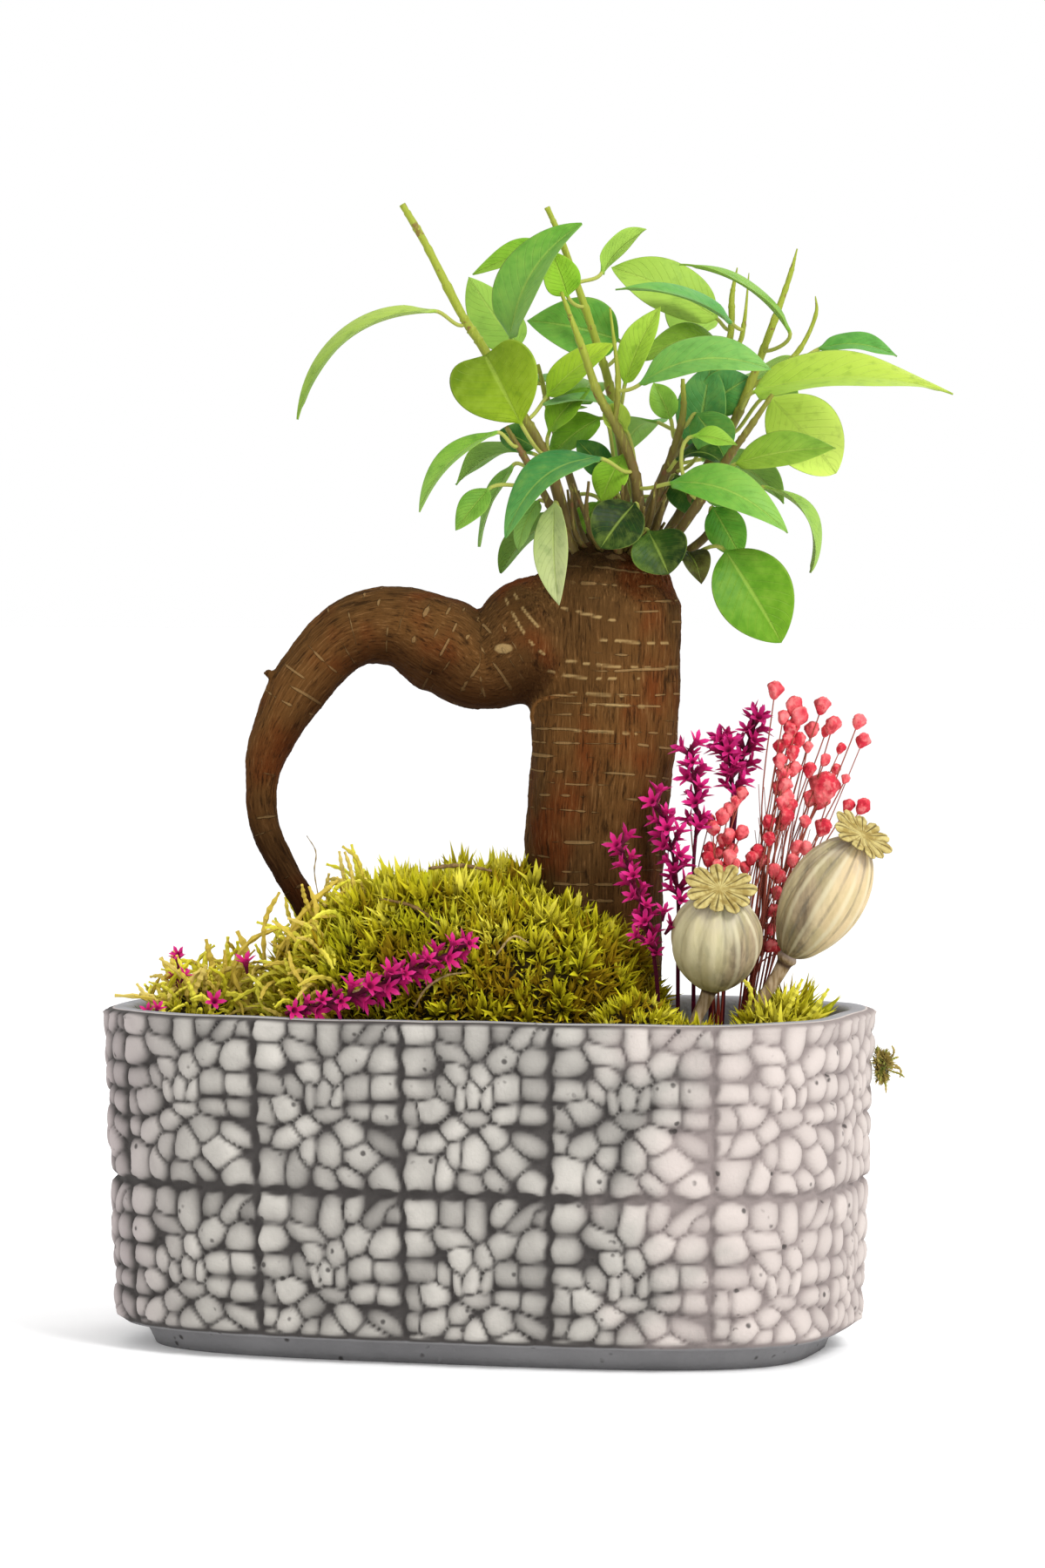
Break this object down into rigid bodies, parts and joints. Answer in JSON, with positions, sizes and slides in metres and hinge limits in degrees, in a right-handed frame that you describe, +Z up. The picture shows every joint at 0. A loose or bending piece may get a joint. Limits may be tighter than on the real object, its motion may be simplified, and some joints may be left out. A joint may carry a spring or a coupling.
{
  "type": "ficus bonsai",
  "caption": "Ficus bonsai with an arched aerial root in an oblong relief planter, dressed with moss, dyed dried flowers and poppy heads.",
  "frame": {"origin": "centre of the planter's flat underside", "axes": "+Z up along the trunk, +X along the planter's long side towards the poppy heads, +Y towards the back; the plant group stands turned 16 degrees about Z in the planter"},
  "size_m": [0.2589, 0.1554, 0.354],
  "materials": {
    "planter": "cast cement, pale warm grey, matt",
    "soil": "dark fired-clay bonsai soil, matt",
    "moss": "preserved feather moss, yellow-green, matt",
    "dry_moss": "dry olive-brown moss, matt",
    "bark": "fibrous brown bark with pale lenticels, matt",
    "shoot": "young green-brown bark, satin",
    "leaf": "smooth leaf, green, satin",
    "poppy": "dry capsule, grey-green to cream, matt",
    "statice": "dyed dry petals, magenta, matt",
    "gypsophila": "dyed dry blooms, coral red, matt"
  },
  "bodies": {
    "root": {"planter": "planter", "soil": "soil", "moss_cushion": "moss", "moss_left": "moss", "moss_right": "moss", "moss_crumb": "dry_moss", "trunk": "bark", "leaf_01": "leaf", "leaf_02": "leaf", "leaf_03": "leaf", "leaf_04": "leaf", "leaf_05": "leaf", "leaf_06": "leaf", "leaf_07": "leaf", "leaf_08": "leaf", "leaf_09": "leaf", "leaf_10": "leaf", "leaf_11": "leaf", "leaf_12": "leaf", "leaf_13": "leaf", "leaf_14": "leaf", "leaf_15": "leaf", "leaf_16": "leaf", "leaf_17": "leaf", "leaf_18": "leaf", "leaf_19": "leaf", "leaf_20": "leaf", "leaf_21": "leaf", "leaf_22": "leaf", "leaf_23": "leaf", "leaf_24": "leaf", "leaf_25": "leaf", "leaf_26": "leaf", "leaf_27": "leaf", "leaf_28": "leaf", "leaf_29": "leaf", "leaf_30": "leaf", "poppy_left": "poppy", "poppy_right": "poppy", "shoot_back": "shoot", "shoot_back_left": "shoot", "shoot_back_right": "shoot", "shoot_centre": "shoot", "shoot_front": "shoot", "shoot_low_left": "shoot", "shoot_low_right": "shoot", "shoot_right": "shoot", "shoot_tall_left": "shoot", "shoot_tall_middle": "shoot", "shoot_tall_right": "shoot", "spray_left": "gypsophila", "spray_middle": "gypsophila", "spray_right": "gypsophila", "sprig_front": "statice", "sprig_left": "statice", "sprig_right_1": "statice", "sprig_right_2": "statice", "sprig_right_3": "statice", "sprig_right_4": "statice", "sprig_right_5": "statice"}
  },
  "joints": []
}
